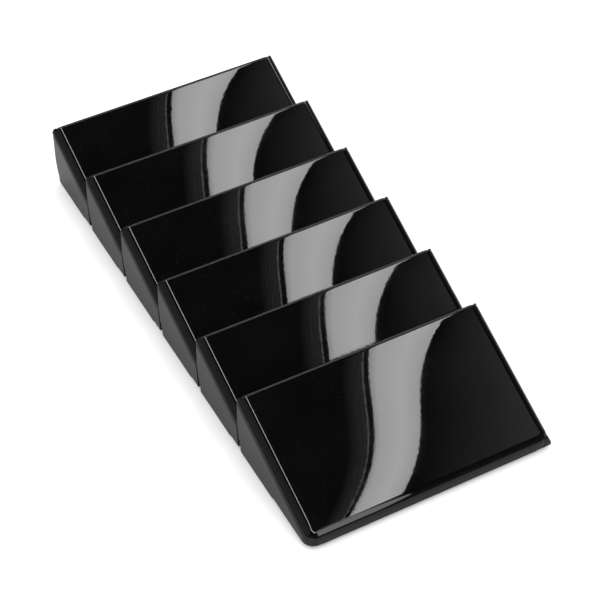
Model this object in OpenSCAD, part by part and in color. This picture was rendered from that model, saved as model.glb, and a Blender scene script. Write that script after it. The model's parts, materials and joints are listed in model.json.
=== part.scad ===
// Countertop dispenser with a row of bays, each under its own wedge-shaped lid.
// The high end of the row is at +Y and the low end is at -Y. +Z is up.
// The origin is on the counter, under the middle of the row.

/* [Row] */
// Number of bays in the row
bays = 6; // [6:1:6]
// Distance from one lid's rear edge to the next
pitch = 65; // [60:1:70]

/* [Lids] */
// Width of a lid, and of the whole row
lid_w = 200; // [160:2:240]
// Height of a lid at its rear edge
lid_h = 56; // [53:1:60]
// Length of the full lid at the low end
end_lid_l = 107; // [100:1:112]
// Slope of a lid's face
face_angle = 22.4; // [21:0.1:23]
// Thickness of a lid's wall
wall = 2.4; // [2:0.1:2.6]
// Radius between a lid's face and its side walls
side_fillet = 7.4; // [6:0.1:8.5]
// Radius along a lid's rear top edge
rear_fillet = 2.2; // [1:0.1:3]
// Radius of the end lid's upright front corners
corner_r = 9; // [7:0.5:11]
// Height of the lids' lowest edges above the counter
skirt_gap = 1.6; // [1.6:0.1:2]
// Step in the lids' lower edges
skirt_step = 1.6; // [1:0.1:1.8]
// Free gap between one lid and the next
lid_gap = 0.5; // [0.4:0.1:0.8]

/* [Hinges] */
// Diameter of a hinge rod
rod_d = 2.5; // [2:0.1:2.6]
// Length of a hinge rod
rod_l = 186; // [150:1:186]
// Radius of the round bead that turns on a rod
bead_r = 4.2; // [4:0.1:4.4]
// Radial clearance between a rod and a bore
rod_clearance = 0.05; // [0.03:0.01:0.1]
// Radius of the fixed lugs that hold a rod
lug_r = 2.6; // [2.4:0.1:2.8]
// Width of a fixed lug
lug_w = 8; // [6:1:12]

/* [Tray] */
// Thickness of the tray's floor
floor_t = 2.4; // [2:0.1:3]
// Height of the tray's walls above the counter
tray_h = 20; // [16:0.5:20]
// Thickness of a divider
divider_t = 3; // [2.5:0.1:3.5]
// Height of a foot
foot_h = 3; // [2.8:0.1:3.2]
// Radius of a foot
foot_r = 7; // [5:0.5:9]
// Radius of a screw's shank
screw_r = 1.4; // [1.2:0.1:1.5]

/* [Hidden] */
$fn = 64;
eps = 0.01;
arc_steps = 6;

row_l = (bays - 1) * pitch + end_lid_l;
far = 3 * lid_w;

// A lid's own frame has its rear edge at y = 0 and runs towards -y.
// The short lids turn on a bead just short of the next lid's rear edge.
bead_gap = 0.4;
bead_proud = 0.15;
hinge_y = -pitch + bead_r + bead_gap;
hinge_z = face_z(hinge_y) - (bead_r - bead_proud) / cos(face_angle);
tail_r = -hinge_y;
front_lean = 6;

// The end lid turns on clips behind its front wall, round the ends of the tray's arms.
arm_r = 2.3;
arm_gap = 1;
end_hinge_y = -end_lid_l + wall + arm_gap + arm_r;
end_hinge_z = 8.6;
nose_fillet = 7.4;
nose_edge_r = 1.6;
tongue_l = lid_w - 24;

// The step in the side walls' lower edges starts here.
step_y = -54;
inner_wall_z = 22;
rest_l = 10;
rest_w = 3;
rest_gap = 0.3;

bore_r = rod_d / 2 + rod_clearance;
snap_w = 0.8 * rod_d;
lug_x = [-60, 0, 60];
clip_x = [-82, -30, 30, 82];
clip_w = 16;
side_play = 0.4;

tray_half_w = lid_w / 2 - wall - 0.8;
tray_wall = 2.4;
tray_rear = -8.4;
tray_front = end_hinge_y + 9.2;
floor_z = foot_h;
floor_top = floor_z + floor_t;
tray_slope_y = -68;

groove_play = 0.2;
divider_half_w = tray_half_w - tray_wall - 0.6;
divider_top = hinge_z - bead_r - 0.6;
boss_r = 3.2;
boss_h = 7;
screw_x = [-45, 45];
screw_head_r = 2.8;
screw_head_h = 1.4;
screw_play = 0.05;

foot_x = tray_half_w - 14;
foot_rear_y = row_l / 2 - 26;
foot_front_y = -row_l / 2 + 34;
stem_r = 2.4;
stem_head_r = 3.4;
stem_head_h = 1.2;

function lid_rear(index) = row_l / 2 - (index - 1) * pitch;
function face_z(y) = lid_h + tan(face_angle) * y;

// Points on an arc round y, z. Each end is given by its height, with 0 for the centre's height.
function arc_points(y, z, r, first_z, last_z) =
    let (
        first = first_z == 0 ? 0 : -asin((z - first_z) / r),
        last = last_z == 0 ? 0 : -asin((z - last_z) / r)
    )
    [for (i = [0 : arc_steps]) let (a = first + (last - first) * i / arc_steps)
        [y + r * cos(a), z + r * sin(a)]];

// Turns a flat outline of y and z into a solid that runs along x.
module across(width) {
    rotate([90, 0, 90])
        linear_extrude(height = width, center = true)
            children();
}

module rod_hole(y, z, r) {
    translate([0, y, z])
        rotate([0, 90, 0])
            cylinder(r = r, h = far, center = true);
}

// ---- Lids ----

// Section of a lid square to its face, with y = 0 at the face.
module face_section(inset) {
    r = side_fillet - inset;
    half = lid_w / 2 - inset;
    translate([-half, inset + r])
        square([2 * half, lid_w]);
    translate([-half + r, inset])
        square([2 * (half - r), lid_w]);
    for (side = [-1, 1])
        translate([side * (half - r), inset + r])
            circle(r = r);
}

module along_face(inset) {
    translate([0, 0, lid_h])
        rotate([face_angle - 90, 0, 0])
            linear_extrude(height = far, center = true)
                face_section(inset);
}

// A lid's rear edge, from the foot of its tail up to the rear end of its face.
// Below the hinge's height the tail follows an arc round the hinge, so that it swings clear.
function rear_edge(inset, low_z) =
    let (
        r = max(rear_fillet - inset, 0.4),
        y = -inset - r,
        z = face_z(y) - (inset + r) / cos(face_angle)
    )
    concat(
        arc_points(hinge_y, hinge_z, tail_r - inset, low_z, 0),
        [for (i = [0 : arc_steps]) let (a = i / arc_steps * (90 + face_angle))
            [y + r * cos(a), z + r * sin(a)]]
    );

// The straight front edge of a short lid's side walls. It leans back to stay clear of the arc
// that the next lid's tail swings along.
function front_edge() =
    let (top_y = hinge_y - pitch + (tail_r + lid_gap) / cos(front_lean))
    [for (z = [hinge_z, skirt_gap]) [top_y - (hinge_z - z) * tan(front_lean), z]];

module skirt_cut() {
    translate([-2 * end_lid_l, -lid_h])
        square([2 * end_lid_l + step_y, lid_h + skirt_gap + skirt_step]);
}

module short_lid_profile() {
    difference() {
        polygon(concat(
            rear_edge(0, skirt_gap),
            [[hinge_y, face_z(hinge_y)]],
            front_edge()
        ));
        skirt_cut();
    }
    translate([hinge_y, hinge_z])
        circle(r = bead_r);
}

// Flat outline of the space under a short lid, with the bead left standing.
module short_lid_hollow_profile() {
    front_y = hinge_y - pitch / 2;
    difference() {
        polygon(concat(
            rear_edge(wall, -wall),
            [
                [front_y, face_z(front_y) - wall / cos(face_angle)],
                [front_y, -wall]
            ]
        ));
        translate([hinge_y, hinge_z])
            circle(r = bead_r);
    }
}

// Opens the low part of the rear wall, from side wall to side wall.
module inner_rear_cut() {
    width = lid_w - 2 * wall + 0.8;
    depth = 4 * wall;
    translate([-width / 2, -depth, -1])
        cube([width, depth + 1, inner_wall_z + 1]);
}

// Small blocks that sit on the tray's side walls when a lid is shut.
module lid_rests() {
    for (side = [-1, 1])
        translate([side * (lid_w / 2 - wall - rest_w / 2 + eps), -20, tray_h + rest_gap + 3])
            cube([rest_w, rest_l, 6], center = true);
}

module short_lid(full_rear_wall) {
    slot_l = rod_l + 4;
    lug_gap = lug_w + 2 * side_play;
    difference() {
        union() {
            difference() {
                intersection() {
                    along_face(0);
                    across(lid_w) short_lid_profile();
                }
                intersection() {
                    along_face(wall);
                    across(far) short_lid_hollow_profile();
                }
                if (!full_rear_wall) inner_rear_cut();
            }
            lid_rests();
        }
        translate([0, hinge_y, hinge_z])
            rotate([0, 90, 0])
                cylinder(r = bore_r, h = slot_l, center = true);
        translate([-slot_l / 2, hinge_y - snap_w / 2, hinge_z - 2 * bead_r])
            cube([slot_l, snap_w, 2 * bead_r]);
        for (x = lug_x)
            translate([x, hinge_y, hinge_z])
                cube([lug_gap, 2 * bead_r + 2 * bead_gap, 3 * bead_r], center = true);
    }
}

module end_lid_profile(inset, low_z) {
    r = nose_fillet - inset;
    y = -end_lid_l + nose_fillet;
    z = face_z(y) - nose_fillet / cos(face_angle);
    polygon(concat(
        rear_edge(inset, low_z),
        [
            [y - r * sin(face_angle), z + r * cos(face_angle)],
            [y, z],
            [y - r, z],
            [y - r, low_z]
        ]
    ));
    translate([y, z])
        circle(r = r);
}

module end_lid_plan(inset) {
    r = corner_r - inset;
    half = lid_w / 2 - inset;
    translate([-half, -end_lid_l + inset + r])
        square([2 * half, end_lid_l]);
    translate([-half + r, -end_lid_l + inset])
        square([2 * (half - r), end_lid_l]);
    for (side = [-1, 1])
        translate([side * (half - r), -end_lid_l + inset + r])
            circle(r = r);
}

module end_lid_form(inset, low_z) {
    intersection() {
        along_face(inset);
        across(far) end_lid_profile(inset, low_z);
        translate([0, 0, -far / 2])
            linear_extrude(height = far)
                end_lid_plan(inset);
    }
}

// The lower edges are higher past the step, except for a tongue in the front wall.
module end_skirt_cut() {
    difference() {
        across(far) skirt_cut();
        translate([0, -end_lid_l, 0])
            cube([tongue_l, 3 * wall, far], center = true);
    }
}

// Rounds the tongue's lower front edge so that it clears the counter as the lid swings.
module nose_edge_trim() {
    y = -end_lid_l + nose_edge_r;
    z = skirt_gap + nose_edge_r;
    difference() {
        translate([-far / 2, y - 2 * nose_edge_r, z - 2 * nose_edge_r])
            cube([far, 2 * nose_edge_r, 2 * nose_edge_r]);
        rod_hole(y, z, nose_edge_r);
    }
}

module front_clip() {
    depth = end_lid_l + end_hinge_y;
    translate([-clip_w / 2, -end_lid_l + wall - eps, end_hinge_z - lug_r])
        cube([clip_w, depth - wall + eps, 2 * lug_r]);
    translate([0, end_hinge_y, end_hinge_z])
        rotate([0, 90, 0])
            cylinder(r = lug_r, h = clip_w, center = true);
}

module end_lid() {
    difference() {
        union() {
            difference() {
                end_lid_form(0, skirt_gap);
                end_lid_form(wall, -wall);
                inner_rear_cut();
                end_skirt_cut();
                nose_edge_trim();
            }
            for (x = clip_x)
                translate([x, 0, 0]) front_clip();
            lid_rests();
        }
        translate([0, end_hinge_y, end_hinge_z])
            rotate([0, 90, 0])
                cylinder(r = bore_r, h = rod_l + 2, center = true);
        translate([-(rod_l + 2) / 2, end_hinge_y, end_hinge_z - snap_w / 2])
            cube([rod_l + 2, 2 * lug_r, snap_w]);
    }
}

module lid(index) {
    color([0.02, 0.02, 0.022])
        translate([0, lid_rear(index), 0])
            if (index == bays) end_lid();
            else short_lid(index == 1);
}

// ---- Hinge rods ----

module hinge_rod(index) {
    y = index == bays ? end_hinge_y : hinge_y;
    z = index == bays ? end_hinge_z : hinge_z;
    color("silver")
        translate([0, lid_rear(index) + y, z])
            rotate([0, 90, 0])
                cylinder(d = rod_d, h = rod_l, center = true);
}

// ---- Dividers ----

module divider(index) {
    color([0.08, 0.08, 0.085])
        translate([0, lid_rear(index) + hinge_y, 0])
            difference() {
                union() {
                    translate([-divider_half_w, -divider_t / 2, floor_top])
                        cube([2 * divider_half_w, divider_t, divider_top - floor_top]);
                    for (x = screw_x)
                        translate([x, 0, floor_top])
                            cylinder(r = boss_r, h = boss_h);
                    for (x = lug_x) {
                        translate([x - lug_w / 2, -divider_t / 2, divider_top - eps])
                            cube([lug_w, divider_t, hinge_z - divider_top + eps]);
                        translate([x, 0, hinge_z])
                            rotate([0, 90, 0])
                                cylinder(r = lug_r, h = lug_w, center = true);
                    }
                }
                rod_hole(0, hinge_z, bore_r);
                for (x = screw_x)
                    translate([x, 0, floor_top - eps])
                        cylinder(r = screw_r + screw_play, h = boss_h - 1);
            }
}

module divider_screws() {
    color("dimgray")
        for (index = [1 : bays - 1], x = screw_x)
            translate([x, lid_rear(index) + hinge_y, floor_z - screw_head_h]) {
                cylinder(r = screw_head_r, h = screw_head_h);
                cylinder(r = screw_r, h = screw_head_h + floor_t + boss_h - 2);
            }
}

// ---- Tray ----

module tray_wall_profile() {
    front = lid_rear(bays) + tray_front;
    bend = lid_rear(bays) + tray_slope_y;
    rear = row_l / 2 + tray_rear;
    polygon([
        [front, floor_z],
        [rear, floor_z],
        [rear, tray_h],
        [bend, tray_h],
        [front, tray_h - (bend - front) * tan(face_angle)]
    ]);
}

// Two ribs on each side wall hold a divider's end.
module divider_groove(index) {
    rib = 2;
    depth = 3;
    for (side = [-1, 1], end = [-1, 1])
        translate([
            side * (tray_half_w - tray_wall - depth / 2 + eps),
            lid_rear(index) + hinge_y + end * (divider_t / 2 + groove_play + rib / 2),
            (floor_top + tray_h) / 2 - 1
        ])
            cube([depth, rib, tray_h - floor_top], center = true);
}

// An arm reaches forward from the floor to the end lid's rod.
module front_arm() {
    arm_l = tray_front - end_hinge_y;
    translate([-lug_w / 2, end_hinge_y, end_hinge_z - arm_r])
        cube([lug_w, arm_l + 3, 2 * arm_r]);
    translate([0, end_hinge_y, end_hinge_z])
        rotate([0, 90, 0])
            cylinder(r = arm_r, h = lug_w, center = true);
    translate([-lug_w / 2, tray_front, floor_z])
        cube([lug_w, 3, end_hinge_z - floor_z]);
}

module tray() {
    rear = row_l / 2 + tray_rear;
    front = lid_rear(bays) + tray_front;
    color([0.08, 0.08, 0.085])
        difference() {
            union() {
                translate([-tray_half_w, front, floor_z])
                    cube([2 * tray_half_w, rear - front, floor_t]);
                for (side = [-1, 1])
                    translate([side * (tray_half_w - tray_wall / 2), 0, 0])
                        across(tray_wall) tray_wall_profile();
                translate([-tray_half_w, rear - tray_wall, floor_z])
                    cube([2 * tray_half_w, tray_wall, tray_h - floor_z]);
                for (index = [1 : bays - 1])
                    divider_groove(index);
                for (x = lug_x)
                    translate([x, lid_rear(bays), 0]) front_arm();
            }
            rod_hole(lid_rear(bays) + end_hinge_y, end_hinge_z, bore_r);
            for (index = [1 : bays - 1], x = screw_x)
                translate([x, lid_rear(index) + hinge_y, 0])
                    cylinder(r = screw_r + 0.2, h = tray_h);
            for (side = [-1, 1], y = [foot_rear_y, foot_front_y])
                translate([side * foot_x, y, 0])
                    cylinder(r = stem_r + 0.05, h = tray_h);
        }
}

// ---- Feet ----

module foot(side, y) {
    head_z = floor_top + 0.05;
    color([0.12, 0.12, 0.12])
        translate([side * foot_x, y, 0]) {
            cylinder(r1 = foot_r - 0.6, r2 = foot_r, h = 1);
            translate([0, 0, 1])
                cylinder(r = foot_r, h = foot_h - 1);
            cylinder(r = stem_r, h = head_z + eps);
            translate([0, 0, head_z])
                cylinder(r1 = stem_head_r, r2 = stem_r, h = stem_head_h);
        }
}

tray();
divider(1);  // divider_1
divider(2);  // divider_2
divider(3);  // divider_3
divider(4);  // divider_4
divider(5);  // divider_5
divider_screws();
hinge_rod(1);  // hinge_rod_1
hinge_rod(2);  // hinge_rod_2
hinge_rod(3);  // hinge_rod_3
hinge_rod(4);  // hinge_rod_4
hinge_rod(5);  // hinge_rod_5
hinge_rod(6);  // hinge_rod_6
lid(1);  // lid_1
lid(2);  // lid_2
lid(3);  // lid_3
lid(4);  // lid_4
lid(5);  // lid_5
lid(6);  // lid_6
foot(-1, foot_rear_y);  // foot_rear_left
foot(1, foot_rear_y);  // foot_rear_right
foot(-1, foot_front_y);  // foot_front_left
foot(1, foot_front_y);  // foot_front_right
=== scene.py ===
import json
from math import cos, pi, radians, sin

import bmesh
import bpy
import numpy as np
from mathutils import Matrix, Vector


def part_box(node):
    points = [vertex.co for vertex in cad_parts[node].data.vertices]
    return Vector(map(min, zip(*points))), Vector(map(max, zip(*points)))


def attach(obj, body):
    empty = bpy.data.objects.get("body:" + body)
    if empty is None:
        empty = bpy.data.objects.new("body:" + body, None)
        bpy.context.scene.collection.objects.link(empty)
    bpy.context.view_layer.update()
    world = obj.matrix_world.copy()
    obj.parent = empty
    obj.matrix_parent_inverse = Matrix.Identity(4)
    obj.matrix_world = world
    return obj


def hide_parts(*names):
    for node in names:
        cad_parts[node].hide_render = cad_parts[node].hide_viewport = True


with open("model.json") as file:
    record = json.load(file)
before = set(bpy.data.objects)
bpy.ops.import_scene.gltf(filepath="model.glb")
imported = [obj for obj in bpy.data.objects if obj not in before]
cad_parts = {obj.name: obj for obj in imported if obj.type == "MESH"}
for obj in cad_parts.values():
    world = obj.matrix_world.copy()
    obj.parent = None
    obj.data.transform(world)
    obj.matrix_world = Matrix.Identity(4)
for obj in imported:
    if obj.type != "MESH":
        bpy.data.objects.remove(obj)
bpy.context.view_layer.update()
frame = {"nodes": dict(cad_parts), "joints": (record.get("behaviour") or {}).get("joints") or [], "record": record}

scene = bpy.context.scene
MM = 0.001

# ---- Camera ----

AZIMUTH, ELEVATION = radians(-28.3), radians(46.2)
TOWARDS_CAMERA = Vector((
    sin(AZIMUTH) * cos(ELEVATION),
    -cos(AZIMUTH) * cos(ELEVATION),
    sin(ELEVATION),
))
TARGET = Vector((-0.0012, -0.0212, 0.025))
DISTANCE = 1.53

camera_data = bpy.data.cameras.new("camera")
camera_data.sensor_width = 36.0
camera_data.lens = 121.2
camera_data.clip_end = 50.0
camera = bpy.data.objects.new("camera", camera_data)
camera.location = TARGET + TOWARDS_CAMERA * DISTANCE
camera.rotation_euler = (-TOWARDS_CAMERA).to_track_quat("-Z", "Y").to_euler()
scene.collection.objects.link(camera)
scene.camera = camera

# ---- Sizes of the lids ----
# The face's slope and the roundings are the CAD's, apart from the rear rim's radius down the sides,
# where the CAD has sharp edges, and the sink in the face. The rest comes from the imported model.

BAYS = 6
SIDE_FILLET = 7.4 * MM
CORNER_R = 9.0 * MM
RIM_TOP_R = 2.2 * MM
RIM_SIDE_R = 1.5 * MM
# The rim goes from its top radius to its side radius between these depths under the face
RIM_CHANGE = (4.0 * MM, 12.0 * MM)
# Half of the face's greatest sink
SINK = 0.06 * MM
FACE_ANGLE = radians(22.4)
FACE_NORMAL = Vector((0.0, -sin(FACE_ANGLE), cos(FACE_ANGLE)))
DOWN_FACE = Vector((0.0, -cos(FACE_ANGLE), -sin(FACE_ANGLE)))
# Where the face's plane meets the rear end of a lid
FACE_TOP_Z = 56.0 * MM

hinge = next(joint["pos_m"] for joint in frame["joints"] if joint["child"] == "lid_1_body")
end_low, end_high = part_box("lid_6")
HALF_W = end_high.x
END_LENGTH = end_high.y - end_low.y
FACE_LENGTH = END_LENGTH / cos(FACE_ANGLE)
TAIL_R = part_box("lid_1")[1].y - hinge[1]
HINGE_Z = hinge[2]


# ---- Node helpers ----

class Nodes:
    """Builds one material's node tree."""

    def __init__(self, name):
        self.material = bpy.data.materials.new(name)
        self.material.use_nodes = True
        self.tree = self.material.node_tree
        self.shader = self.tree.nodes["Principled BSDF"]

    def add(self, kind, settings=None, **inputs):
        node = self.tree.nodes.new(kind)
        for name, value in (settings or {}).items():
            setattr(node, name, value)
        for name, value in inputs.items():
            self.put(node.inputs[name.replace("_", " ")], value)
        return node

    def put(self, socket, value):
        if isinstance(value, bpy.types.NodeSocket):
            self.tree.links.new(value, socket)
        else:
            socket.default_value = value

    def set(self, **inputs):
        for name, value in inputs.items():
            self.put(self.shader.inputs[name.replace("_", " ")], value)

    def point(self, scale=(1.0, 1.0, 1.0), turn=(0.0, 0.0, 0.0)):
        place = self.add("ShaderNodeTexCoord")
        mapping = self.add("ShaderNodeMapping", Vector=place.outputs["Object"])
        mapping.inputs["Scale"].default_value = scale
        mapping.inputs["Rotation"].default_value = turn
        return mapping.outputs["Vector"]

    def noise(self, scale, detail=2.0, roughness=0.5, point=None):
        place = point or self.point()
        node = self.add("ShaderNodeTexNoise", Vector=place, Scale=scale, Detail=detail, Roughness=roughness)
        return node.outputs["Fac"]

    def ranged(self, value, low, high, to_low, to_high):
        node = self.add("ShaderNodeMapRange", Value=value)
        for name, number in zip(("From Min", "From Max", "To Min", "To Max"), (low, high, to_low, to_high)):
            node.inputs[name].default_value = number
        return node.outputs["Result"]

    def plus(self, first, second):
        return self.maths("ADD", first, second)

    def times(self, first, second):
        return self.maths("MULTIPLY", first, second)

    def maths(self, operation, first, second):
        node = self.add("ShaderNodeMath", {"operation": operation})
        self.put(node.inputs[0], first)
        self.put(node.inputs[1], second)
        return node.outputs["Value"]

    def ramp(self, value, *stops):
        node = self.add("ShaderNodeValToRGB", Fac=value)
        elements = node.color_ramp.elements
        while len(elements) < len(stops):
            elements.new(0.5)
        for element, (position, colour) in zip(elements, stops):
            element.position = position
            element.color = (*colour, 1.0)
        return node.outputs["Color"]

    def edges(self, radius):
        """Is 0 on open surfaces and rises on edges, where handling rubs a part."""
        rounded = self.add("ShaderNodeBevel", {"samples": 6}, Radius=radius)
        true = self.add("ShaderNodeNewGeometry")
        dot = self.add("ShaderNodeVectorMath", {"operation": "DOT_PRODUCT"})
        self.put(dot.inputs[0], rounded.outputs["Normal"])
        self.put(dot.inputs[1], true.outputs["Normal"])
        return rounded.outputs["Normal"], self.ranged(dot.outputs["Value"], 0.99, 0.8, 0.0, 1.0)

    def bump(self, height, distance, strength=1.0, under=None):
        node = self.add("ShaderNodeBump", Height=height, Distance=distance, Strength=strength)
        if under:
            self.put(node.inputs["Normal"], under)
        return node.outputs["Normal"]


# ---- Materials ----

def lid_material():
    """Injection-moulded ABS off a polished tool: mirror gloss, faint orange peel, hairlines and dust."""
    n = Nodes("lid_gloss_black")
    rounded, worn = n.edges(0.0007)
    cloud = n.noise(26.0, 3.0)
    peel = n.noise(420.0, 1.0)
    hair = n.noise(900.0, 2.0, 0.6, n.point((0.03, 1.0, 1.0), (0.0, 0.0, 0.35)))
    dust = n.noise(2600.0, 0.0)
    specks = n.ranged(dust, 0.80, 0.84, 0.0, 1.0)
    tone = n.ramp(
        n.plus(n.ranged(cloud, 0.3, 0.7, 0.0, 0.45), n.times(worn, 0.5)),
        (0.0, (0.0016, 0.0016, 0.0018)),
        (0.5, (0.0026, 0.0026, 0.0029)),
        (1.0, (0.011, 0.011, 0.012)),
    )
    rough = n.plus(n.ranged(cloud, 0.3, 0.7, 0.010, 0.020), n.ranged(hair, 0.62, 0.8, 0.0, 0.02))
    rough = n.plus(rough, n.times(worn, 0.10))
    n.set(
        Base_Color=tone,
        Roughness=n.plus(rough, n.times(specks, 0.25)),
        IOR=1.5,
        Normal=n.bump(peel, 0.0000012, under=rounded),
    )
    return n.material


def matte_material(name, dark, light, grain):
    """Spark-textured black polypropylene, rubbed paler on its edges."""
    n = Nodes(name)
    rounded, worn = n.edges(0.0005)
    cloud = n.noise(35.0, 4.0)
    spark = n.noise(grain, 3.0, 0.7)
    tone = n.ramp(
        n.plus(n.ranged(cloud, 0.3, 0.7, 0.0, 0.5), n.times(worn, 0.4)),
        (0.0, dark),
        (0.5, light),
        (1.0, tuple(3 * c for c in light)),
    )
    rough = n.plus(n.ranged(spark, 0.3, 0.7, 0.42, 0.6), n.times(worn, -0.12))
    n.set(Base_Color=tone, Roughness=rough, IOR=1.49, Normal=n.bump(spark, 0.00002, 0.8, rounded))
    return n.material


def steel_material(name, stretch, base):
    """Drawn stainless steel: fine lines along the draw, and duller patches."""
    n = Nodes(name)
    lines = n.noise(2400.0, 3.0, 0.6, n.point(stretch))
    cloud = n.noise(120.0, 3.0)
    tone = n.ramp(
        n.plus(n.ranged(lines, 0.3, 0.7, 0.0, 0.5), n.ranged(cloud, 0.35, 0.7, 0.0, 0.5)),
        (0.0, tuple(0.72 * c for c in base)),
        (1.0, base),
    )
    n.set(
        Base_Color=tone,
        Metallic=1.0,
        Roughness=n.ranged(cloud, 0.3, 0.7, 0.2, 0.34),
        Anisotropic=0.4,
        Normal=n.bump(lines, 0.000004, 0.7),
    )
    return n.material


def rubber_material():
    """Moulded black rubber, dulled by bloom and dust."""
    n = Nodes("foot_rubber")
    rounded, worn = n.edges(0.0006)
    bloom = n.noise(220.0, 5.0, 0.65)
    grain = n.noise(3000.0, 2.0)
    tone = n.ramp(
        n.plus(n.ranged(bloom, 0.35, 0.75, 0.0, 0.7), n.times(worn, 0.3)),
        (0.0, (0.012, 0.012, 0.013)),
        (0.6, (0.024, 0.024, 0.024)),
        (1.0, (0.060, 0.058, 0.055)),
    )
    n.set(
        Base_Color=tone,
        Roughness=n.ranged(grain, 0.3, 0.7, 0.68, 0.86),
        IOR=1.52,
        Normal=n.bump(grain, 0.00002, 0.6, rounded),
    )
    return n.material


lid_gloss = lid_material()
slot_materials = {
    "tray": matte_material("tray_black", (0.010, 0.010, 0.011), (0.020, 0.020, 0.022), 1500.0),
    "divider": matte_material("divider_black", (0.012, 0.012, 0.013), (0.024, 0.024, 0.026), 1900.0),
    "rod": steel_material("rod_steel", (0.02, 1.0, 1.0), (0.62, 0.62, 0.61)),
    "screw": steel_material("screw_steel", (1.0, 1.0, 0.05), (0.52, 0.52, 0.51)),
    "foot": rubber_material(),
    "lid": lid_gloss,
}
for part in frame["record"]["subparts"]:
    node = frame["nodes"][part["node"]]
    node.data.materials.clear()
    node.data.materials.append(slot_materials[part["material_slot"]])


# ---- Lids ----
# A lid's own frame has its rear edge at y = 0 and runs towards -y, as in the CAD. The last lid is
# the full-length one, with a front wall and rounded front corners.

# Spacing of the cuts that carry the roundings, in mm in from a lid's side, rear and front
NEAR_SIDE = (0.25, 0.6, 1.1, 1.8, 2.8, 4.0, 5.4, 7.4, 9.5, 13.0)
NEAR_REAR = (0.3, 0.7, 1.2, 1.9, 2.8, 4.0)
NEAR_FRONT = (0.3, 0.8, 1.5, 2.4, 3.5, 5.0, 6.6, 8.4)
# Even cuts 4 mm apart: across between these, and along from the rear to short of the front
CELL = 4.0 * MM
MIDDLE = 84.0 * MM
CLEAR_OF_REAR = 6.0 * MM
CLEAR_OF_FRONT = 10.0 * MM
MERGE = 0.002 * MM
ON_PLANE = 0.0001 * MM

# What belongs to the outer form: points this close to it and above the foot, clear of the front
# edge of a short lid and of the places where the form has no single direction
SKIN = 0.9 * MM
FOOT_TOP = 3.4 * MM
EDGE_MARGIN = 0.05 * MM
LEAST_SLOPE = 0.3
LEAST_AGREEMENT = 0.8
PROJECTION_STEPS = 6
SLOPE_STEP = 0.01 * MM


def crown(x, s):
    """Height of the moulded face over a flat one, at x across it and s down it: a shallow sink."""
    across = x / HALF_W
    along = 2 * s / FACE_LENGTH - 1
    return SINK * (across**2 + along**2 - 2)


def rolled(a, b, lean, radius):
    """Fields a and b meet in an edge of that radius, as a ball would roll it.

    lean is the cosine between them.
    """
    u, v = a + radius, b + radius
    ball = np.sqrt(np.maximum(u**2 + v**2 - 2 * lean * u * v, 0.0) / (1 - lean**2)) - radius
    return np.where((u > lean * v) & (v > lean * u), ball, np.maximum(a, b))


def outside(p, full_length):
    """How far points lie outside a lid's outer form, which is below 0 inside it."""
    x, y, z = p[:, 0], p[:, 1], p[:, 2]
    depth = y * sin(FACE_ANGLE) - (z - FACE_TOP_Z) * cos(FACE_ANGLE)
    s = -y * cos(FACE_ANGLE) - (z - FACE_TOP_Z) * sin(FACE_ANGLE)
    face = -depth - crown(x, s)
    walls = np.abs(x) - HALF_W
    faces_front = np.zeros(len(p))
    if full_length:
        u = np.abs(x) - (HALF_W - CORNER_R)
        v = -y - (END_LENGTH - CORNER_R)
        reach = np.hypot(np.maximum(u, 0.0), np.maximum(v, 0.0))
        walls = np.minimum(np.maximum(u, v), 0.0) + reach - CORNER_R
        faces_front = np.where(reach > 0, np.maximum(v, 0.0) / np.maximum(reach, 1e-9), v > u)
    hood = rolled(face, walls, sin(FACE_ANGLE) * faces_front, SIDE_FILLET)
    upward, sideward = np.maximum(face + SIDE_FILLET, 1e-6), np.maximum(walls + SIDE_FILLET, 0.0)
    faces_up = upward / np.hypot(upward, sideward)
    tail = np.where(z > HINGE_Z, y, np.hypot(y + TAIL_R, z - HINGE_Z) - TAIL_R)
    rim = np.interp(depth, RIM_CHANGE, (RIM_TOP_R, RIM_SIDE_R))
    return rolled(hood, tail, -sin(FACE_ANGLE) * faces_up, rim)


def slope(p, full_length):
    """The outer form's gradient at points, which is its outward normal where they lie on it."""
    steps = np.eye(3) * SLOPE_STEP
    return np.stack(
        [(outside(p + a, full_length) - outside(p - a, full_length)) / (2 * SLOPE_STEP) for a in steps],
        axis=1,
    )


def cut_across(bm, place, normal):
    geometry = bm.verts[:] + bm.edges[:] + bm.faces[:]
    bmesh.ops.bisect_plane(bm, geom=geometry, plane_co=place, plane_no=normal, dist=ON_PLANE)


def cut_grid(bm, rear, full_length):
    """Cuts a lid's mesh finely enough to carry the sink and the roundings."""
    for side in (-1, 1):
        for d in NEAR_SIDE:
            cut_across(bm, (side * (HALF_W - d * MM), 0, 0), (1, 0, 0))
    for x in np.linspace(-MIDDLE, MIDDLE, round(2 * MIDDLE / CELL) + 1):
        cut_across(bm, (x, 0, 0), (1, 0, 0))
    length = END_LENGTH if full_length else TAIL_R
    ys = [-d * MM for d in NEAR_REAR]
    ys += list(-np.arange(CLEAR_OF_REAR, length - CLEAR_OF_FRONT, CELL))
    if full_length:
        ys += [d * MM - length for d in NEAR_FRONT]
    for y in ys:
        cut_across(bm, (0, rear + y, 0), (0, 1, 0))


def cut_copy(name, rear, full_length):
    """A copy of a lid's CAD mesh, cut into a fine grid."""
    bm = bmesh.new()
    bm.from_mesh(frame["nodes"][name].data)
    bmesh.ops.remove_doubles(bm, verts=bm.verts[:], dist=MERGE)
    cut_grid(bm, rear, full_length)
    mesh = bpy.data.meshes.new(f"{name}_finished")
    bm.to_mesh(mesh)
    bm.free()
    return mesh


def read(collection, name, width, kind=float):
    """One attribute of every item of a mesh's collection, a row to each where it has several numbers."""
    values = np.empty(len(collection) * width, kind)
    collection.foreach_get(name, values)
    return values.reshape(-1, width) if width > 1 else values


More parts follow.
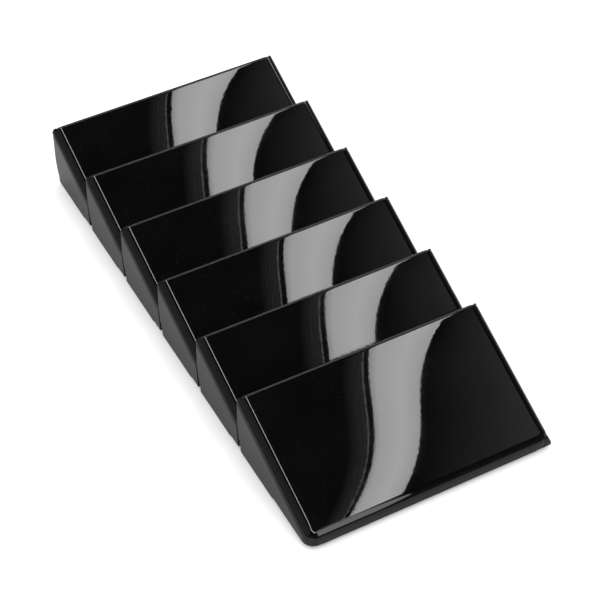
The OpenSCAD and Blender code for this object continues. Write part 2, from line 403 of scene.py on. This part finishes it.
def on_outer_form(points, full_length):
    """Which of a lid's points belong to its outer form."""
    close = np.abs(outside(points, full_length)) < SKIN
    clear_of_front = full_length | (points[:, 1] > -TAIL_R + EDGE_MARGIN)
    definite = np.linalg.norm(slope(points, full_length), axis=1) > LEAST_SLOPE
    return close & clear_of_front & definite & (points[:, 2] > FOOT_TOP)


def project(points, outer, full_length):
    """Moves the outer points onto the outer form."""
    for _ in range(PROJECTION_STEPS):
        value = outside(points[outer], full_length)
        direction = slope(points[outer], full_length)
        points[outer] -= direction * (value / np.sum(direction**2, axis=1))[:, None]


def corner_normals(mesh, points, outer, full_length):
    """The outer form's own normals on its points, and the flat polygons' elsewhere."""
    normals = slope(points, full_length)
    normals /= np.linalg.norm(normals, axis=1)[:, None] + 1e-12
    corner_vertex = read(mesh.loops, "vertex_index", 1, int)
    sizes = read(mesh.polygons, "loop_total", 1, int)
    flat = np.repeat(read(mesh.polygons, "normal", 3), sizes, axis=0)
    wanted = normals[corner_vertex]
    agrees = outer[corner_vertex] & (np.sum(wanted * flat, axis=1) > LEAST_AGREEMENT)
    wanted[~agrees] = flat[~agrees]
    return wanted


def finish_lid(index):
    """A lid with its true sunk face, rolled rims and smooth fillets."""
    name = f"lid_{index}"
    full_length = index == BAYS
    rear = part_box(name)[1].y
    mesh = cut_copy(name, rear, full_length)
    points = read(mesh.vertices, "co", 3) - (0, rear, 0)
    outer = on_outer_form(points, full_length)
    project(points, outer, full_length)
    mesh.vertices.foreach_set("co", (points + (0, rear, 0)).ravel())
    mesh.update()
    mesh.normals_split_custom_set(corner_normals(mesh, points, outer, full_length))
    mesh.materials.append(lid_gloss)

    piece = bpy.data.objects.new(f"{name}_shell", mesh)
    scene.collection.objects.link(piece)
    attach(piece, f"{name}_body")
    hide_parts(name)
    return piece


shells = {index: finish_lid(index) for index in range(1, BAYS + 1)}

# ---- Studio ----

FLOOR_REACH = 8.0
# A Mix node's sockets for colours
MIX_FACTOR, MIX_FIRST, MIX_SECOND, MIX_RESULT = 0, 6, 7, 2


def mesh_object(name, vertices, faces, material):
    mesh = bpy.data.meshes.new(name)
    mesh.from_pydata(vertices, [], faces)
    mesh.materials.append(material)
    made = bpy.data.objects.new(name, mesh)
    scene.collection.objects.link(made)
    return made


def floor_material():
    """Plain white paper. For gloss rays its colour is painted darker than for the eye: painted shade on the floor
    as the lids mirror it.
    """
    n = Nodes("floor_white")
    rays = n.add("ShaderNodeLightPath")
    mottle = n.noise(3.0, 2.0)
    seen = n.ramp(mottle, (0.0, (0.93, 0.93, 0.93)), (1.0, (0.95, 0.95, 0.95)))
    paper_with_painted_gloss_shade = n.add("ShaderNodeMix", {"data_type": "RGBA"})
    n.put(paper_with_painted_gloss_shade.inputs[MIX_FACTOR], rays.outputs["Is Glossy Ray"])
    n.put(paper_with_painted_gloss_shade.inputs[MIX_FIRST], seen)
    # Painted shade: the grey the floor takes in gloss rays stands in for the floor's shade in the lids'
    # reflections.
    n.put(paper_with_painted_gloss_shade.inputs[MIX_SECOND], (0.39, 0.39, 0.40, 1.0))
    n.set(Base_Color=paper_with_painted_gloss_shade.outputs[MIX_RESULT], Roughness=0.9, Specular_IOR_Level=0.0)
    return n.material


def pale_floor():
    corners = [(x, y, 0) for x, y in ((-1, -1), (1, -1), (1, 1), (-1, 1))]
    vertices = [Vector(corner) * FLOOR_REACH for corner in corners]
    mesh_object("floor", vertices, [(0, 1, 2, 3)], floor_material())


def studio_world():
    """Even light for the eye. In gloss the studio is dark overhead and dim near the horizon."""
    world = bpy.data.worlds.new("studio")
    world.use_nodes = True
    scene.world = world
    nodes, links = world.node_tree.nodes, world.node_tree.links
    direction = nodes.new("ShaderNodeSeparateXYZ")
    links.new(nodes.new("ShaderNodeTexCoord").outputs["Generated"], direction.inputs[0])
    walls = nodes.new("ShaderNodeMapRange")
    for name, value in (("From Min", 0.05), ("From Max", 0.75), ("To Min", 0.11), ("To Max", 0.004)):
        walls.inputs[name].default_value = value
    links.new(direction.outputs["Z"], walls.inputs["Value"])
    dimming = nodes.new("ShaderNodeMix")
    dimming.inputs["A"].default_value = 1.5
    links.new(nodes.new("ShaderNodeLightPath").outputs["Is Glossy Ray"], dimming.inputs["Factor"])
    links.new(walls.outputs["Result"], dimming.inputs["B"])
    background = nodes["Background"]
    links.new(dimming.outputs["Result"], background.inputs["Strength"])
    background.inputs["Color"].default_value = (1.0, 1.0, 1.0, 1.0)


def area_light(name, place, facing, across, width, length, radiance):
    """A rectangle of light whose width runs along across."""
    data = bpy.data.lights.new(name, "AREA")
    data.shape = "RECTANGLE"
    data.size = width
    data.size_y = length
    data.energy = radiance * pi * width * length
    light = bpy.data.objects.new(name, data)
    out = (-facing).normalized()
    x_axis = (across - out * across.dot(out)).normalized()
    y_axis = out.cross(x_axis)
    turn = Matrix((x_axis, y_axis, out)).transposed()
    light.matrix_world = Matrix.Translation(place) @ turn.to_4x4()
    scene.collection.objects.link(light)
    return light


def only_for(light, objects, name):
    """Lets a light show on these objects alone."""
    receivers = bpy.data.collections.new(name)
    for item in objects:
        receivers.objects.link(item)
    light.light_linking.receiver_collection = receivers


pale_floor()
studio_world()
key = area_light(
    "key",
    place=Vector((0.6, 0.9, 1.9)),
    facing=Vector((-0.3, -0.42, -0.86)),
    across=Vector((1, 0, 0)),
    width=1.6,
    length=1.6,
    radiance=1.2,
)
key.visible_glossy = False

# ---- Lighting cards ----
# Each lid mirrors its own lighting card, so that all six carry the same reflection. A place on a
# card is named by the point of the face that shows it: across the face from -1 to 1, and down it
# from 0 to 1.

CARD_DISTANCE = 1.6
CARD_ROWS = 36
CARD_FIRST = -0.01
# A card shows only what the next lid leaves in sight, so that none stands in another's way.
CARD_LAST, CARD_LAST_FULL = 0.47, 1.08
# The last ribbon ends past the face's right edge.
CARD_EDGE = 1.3


def band_left(v):
    """Left edge of the bright band, at v down the face."""
    t = v - 0.5
    return -0.17 - 0.53 * t - 0.64 * t**2 - 1.41 * t**3


def band_right(v):
    """Right edge of the bright band, at v down the face."""
    t = v - 0.5
    return 0.2 - 0.59 * t + 0.08 * t**2 - 2.17 * t**3


def beside_band(offset):
    return lambda v: band_left(v) + offset


def within_band(share):
    return lambda v: band_left(v) + share * (band_right(v) - band_left(v))


def past_band(share):
    return lambda v: band_right(v) + share * (CARD_EDGE - band_right(v))


# Left edge, right edge, and the glow at each
RIBBONS = [
    (within_band(0.0), within_band(0.12), 5.5, 7.8),
    (within_band(0.12), within_band(0.6), 7.8, 9.0),
    (within_band(0.6), within_band(1.0), 9.0, 7.4),
    (beside_band(-0.056), beside_band(-0.044), 1.6, 1.6),
    (beside_band(-0.11), beside_band(-0.064), 0.24, 0.32),
    (beside_band(-0.125), beside_band(-0.114), 0.42, 0.42),
    (beside_band(-0.21), beside_band(-0.13), 0.02, 0.22),
    (past_band(0.06), past_band(0.5), 0.0, 0.26),
    (past_band(0.5), past_band(1.0), 0.26, 0.75),
]


def glow_material():
    """Each point of a card glows by its own attribute."""
    n = Nodes("card_glow")
    glow = n.add("ShaderNodeAttribute", {"attribute_name": "glow"})
    emission = n.add("ShaderNodeEmission")
    n.put(emission.inputs["Strength"], glow.outputs["Fac"])
    n.put(emission.inputs["Color"], (1.0, 0.985, 0.985, 1.0))
    n.put(n.tree.nodes["Material Output"].inputs["Surface"], emission.outputs[0])
    return n.material


card_glow = glow_material()


def lighting_card(index, shell):
    """Ribbons of glow where a lid's face mirrors them into the camera."""
    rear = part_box(f"lid_{index}")[1].y
    top = Vector((0, rear, FACE_TOP_Z))
    centre = top + DOWN_FACE * (FACE_LENGTH / 2)

    def mirrored(point):
        to_camera = (camera.location - point).normalized()
        return 2 * to_camera.dot(FACE_NORMAL) * FACE_NORMAL - to_camera

    middle = mirrored(centre)
    card_centre = centre + middle * CARD_DISTANCE

    def on_card(across, down):
        point = top + Vector((across * HALF_W, 0, 0)) + DOWN_FACE * (down * FACE_LENGTH)
        ray = mirrored(point)
        return point + ray * ((card_centre - point).dot(middle) / ray.dot(middle))

    last = CARD_LAST_FULL if index == BAYS else CARD_LAST
    vertices, faces, glows = [], [], []
    for left, right, left_glow, right_glow in RIBBONS:
        for row in range(CARD_ROWS + 1):
            v = CARD_FIRST + (last - CARD_FIRST) * row / CARD_ROWS
            if row:
                n = len(vertices)
                faces.append((n - 2, n - 1, n + 1, n))
            vertices += [on_card(left(v), v), on_card(right(v), v)]
            glows += [left_glow, right_glow]
    card = mesh_object(f"card_{index}", vertices, faces, card_glow)
    attribute = card.data.attributes.new("glow", "FLOAT", "POINT")
    attribute.data.foreach_set("value", glows)
    for ray in ("camera", "diffuse", "transmission", "volume_scatter", "shadow"):
        setattr(card, f"visible_{ray}", False)
    only_for(card, [shell], f"lit_by_card_{index}")


# ---- Gloss lights ----

GLOSS_DISTANCE = 2.2


def gloss_light(name, objects, towards, width, length, radiance, across=(1, 0, 0)):
    """A light that shows only as a reflection on some lids, in one direction from the object."""
    towards = Vector(towards).normalized()
    place = TARGET + towards * GLOSS_DISTANCE
    light = area_light(name, place, -towards, Vector(across), width, length, radiance)
    light.visible_diffuse = False
    light.visible_camera = False
    only_for(light, objects, f"lit_by_{name}")


for index, shell in shells.items():
    lighting_card(index, shell)
every_shell = list(shells.values())
gloss_light("left_edge", every_shell, (0.13, -0.07, 0.985), 0.20, 2.4, 12.0)
gloss_light("left_soft", every_shell, (-0.75, 0.05, 0.65), 3.0, 2.8, 0.26, across=(0, 1, 0))
gloss_light("rear_high", every_shell, (0.33, 0.36, 0.87), 2.6, 0.5, 3.6)
gloss_light("rear_low", every_shell, (0.33, 0.90, 0.22), 2.6, 0.6, 1.8)
gloss_light("nose", [shells[BAYS]], (0.24, -0.66, 0.60), 0.26, 2.0, 3.0)

scene.view_settings.view_transform = "Standard"
scene.view_settings.look = "None"
